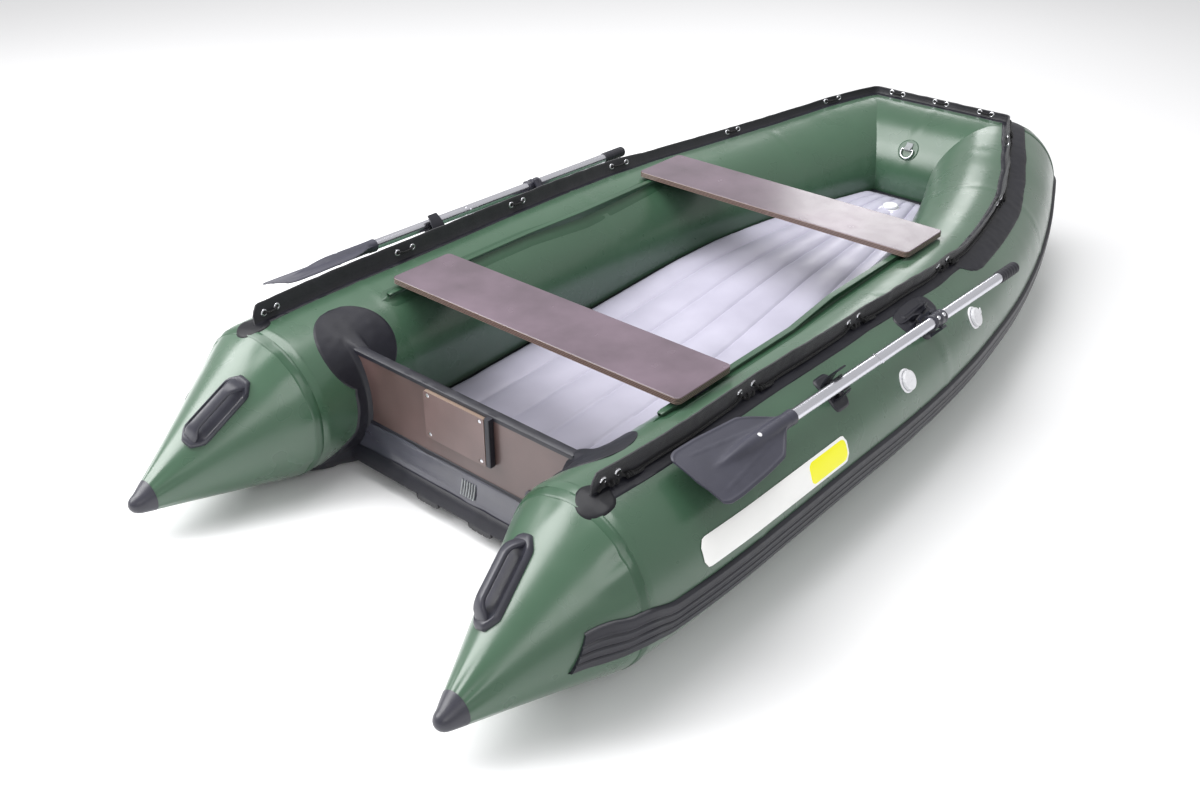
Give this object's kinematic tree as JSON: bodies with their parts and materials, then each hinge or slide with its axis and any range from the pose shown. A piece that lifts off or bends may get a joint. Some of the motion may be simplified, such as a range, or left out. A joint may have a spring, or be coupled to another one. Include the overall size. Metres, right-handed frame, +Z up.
{
  "type": "inflatable dinghy",
  "caption": "Inflatable boat with a rigid plywood transom, two sliding bench boards, an inflatable floor and a pair of oars stowed along its side tubes.",
  "frame": {"origin": "on the ground plane, at the middle of the boat's length and beam", "axes": "+Z up, +Y towards the stern, +X towards the port side"},
  "size_m": [1.7158, 3.5, 0.5752],
  "materials": {
    "pvc_green": "satin coated fabric",
    "pvc_black": "satin coated fabric",
    "pvc_grey": "satin coated fabric",
    "plywood_brown": "film faced plywood",
    "plastic_black": "moulded",
    "plastic_white": "moulded",
    "aluminium_tube": "drawn, satin",
    "steel": "plated",
    "cord_black": "braided",
    "panel_white": "printed film"
  },
  "bodies": {
    "hull": {"bench_rails": "pvc_green", "bottom_skin": "pvc_black", "bow_ring_patch": "pvc_grey", "bow_tube": "pvc_green", "chamber_baffles": "pvc_green", "cone_caps": "plastic_black", "drain_sleeve": "plastic_black", "grab_line": "cord_black", "inflatable_floor": "pvc_grey", "lacing_eyelets": "steel", "lacing_strip_bow": "pvc_black", "lacing_strip_port": "pvc_black", "lacing_strip_starboard": "pvc_black", "motor_pad_inner": "plywood_brown", "motor_pad_outer": "plywood_brown", "motor_pad_screws": "steel", "motor_stop_bar": "plastic_black", "oar_rests": "plastic_black", "oarlock_bases": "plastic_black", "port_tube": "pvc_green", "rub_strake": "pvc_black", "seam_tapes": "pvc_green", "side_panels": "panel_white", "starboard_tube": "pvc_green", "stern_cones": "pvc_green", "stern_handles": "plastic_black", "strip_end_patches": "pvc_black", "transom_apron": "pvc_grey", "transom_board": "plywood_brown", "transom_holder_port": "pvc_black", "transom_holder_starboard": "pvc_black", "transom_top_trim": "pvc_black", "valve_bodies": "plastic_white", "wear_strips": "pvc_black"},
    "rear_bench_body": {"rear_bench": "plywood_brown", "rear_bench_slides": "plastic_black"},
    "front_bench_body": {"front_bench": "plywood_brown", "front_bench_slides": "plastic_black"},
    "port_oarlock": {"oarlock_fork_port": "plastic_black"},
    "starboard_oarlock": {"oarlock_fork_starboard": "plastic_black"},
    "port_oar": {"oar_collar_port": "plastic_black", "oar_loom_handle_port": "aluminium_tube", "oar_loom_blade_port": "aluminium_tube", "oar_grip_port": "plastic_black", "oar_blade_port": "plastic_black", "oar_rivet_port": "plastic_white"},
    "starboard_oar": {"oar_collar_starboard": "plastic_black", "oar_loom_handle_starboard": "aluminium_tube", "oar_loom_blade_starboard": "aluminium_tube", "oar_grip_starboard": "plastic_black", "oar_blade_starboard": "plastic_black", "oar_rivet_starboard": "plastic_white"},
    "port_valve_cap_a": {"valve_cap_port_a": "plastic_white"},
    "port_valve_cap_b": {"valve_cap_port_b": "plastic_white"},
    "starboard_valve_cap_a": {"valve_cap_starboard_a": "plastic_white"},
    "starboard_valve_cap_b": {"valve_cap_starboard_b": "plastic_white"},
    "floor_valve_cap": {"valve_cap_floor": "plastic_white"},
    "bow_ring_body": {"bow_ring": "steel"},
    "drain_plug_body": {"drain_plug": "plastic_black"}
  },
  "joints": [
    {"name": "rear_bench_slide", "type": "slide", "parent": "hull", "child": "rear_bench_body", "axis": [0, 1, 0], "range_m": [-0.37, 0.1]},
    {"name": "front_bench_slide", "type": "slide", "parent": "hull", "child": "front_bench_body", "axis": [0, 1, 0], "range_m": [-0.004, 0.34]},
    {"name": "port_oar_swing", "type": "hinge", "parent": "hull", "child": "port_oarlock", "pos_m": [0.74903, -0.02, 0.41629], "axis": [-0.6334, 0, -0.7738], "range_deg": [0, 95]},
    {"name": "starboard_oar_swing", "type": "hinge", "parent": "hull", "child": "starboard_oarlock", "pos_m": [-0.74903, -0.02, 0.41629], "axis": [-0.6334, 0, 0.7738], "range_deg": [0, 95]},
    {"name": "port_oar_tilt", "type": "hinge", "parent": "port_oarlock", "child": "port_oar", "pos_m": [0.7826, -0.02, 0.45731], "axis": [0.7738, 0.0245, -0.633], "range_deg": [0, 6]},
    {"name": "starboard_oar_tilt", "type": "hinge", "parent": "starboard_oarlock", "child": "starboard_oar", "pos_m": [-0.7826, -0.02, 0.45731], "axis": [0.7738, -0.0245, 0.633], "range_deg": [0, 6]},
    {"name": "port_valve_cap_a_turn", "type": "hinge", "parent": "hull", "child": "port_valve_cap_a", "pos_m": [0.81081, 0.17318, 0.35419], "axis": [0.8655, -0.0295, 0.5], "range_deg": [0, 90]},
    {"name": "starboard_valve_cap_a_turn", "type": "hinge", "parent": "hull", "child": "starboard_valve_cap_a", "pos_m": [-0.81081, 0.17318, 0.35419], "axis": [-0.8655, -0.0295, 0.5], "range_deg": [0, 90]},
    {"name": "port_valve_cap_b_turn", "type": "hinge", "parent": "hull", "child": "port_valve_cap_b", "pos_m": [0.77896, -0.29903, 0.35424], "axis": [0.8508, -0.104, 0.515], "range_deg": [0, 90]},
    {"name": "starboard_valve_cap_b_turn", "type": "hinge", "parent": "hull", "child": "starboard_valve_cap_b", "pos_m": [-0.77896, -0.29903, 0.35424], "axis": [-0.8508, -0.104, 0.515], "range_deg": [0, 90]},
    {"name": "floor_valve_cap_turn", "type": "hinge", "parent": "hull", "child": "floor_valve_cap", "pos_m": [-0.035, -1.15, 0.2439], "axis": [0, 0, 1], "range_deg": [0, 90]},
    {"name": "bow_ring_hinge", "type": "hinge", "parent": "hull", "child": "bow_ring_body", "pos_m": [0, -1.29959, 0.42875], "axis": [1, 0, 0], "range_deg": [0, 170]},
    {"name": "drain_plug_pull", "type": "slide", "parent": "hull", "child": "drain_plug_body", "axis": [0, 1, 0], "range_m": [0, 0.03]}
  ]
}
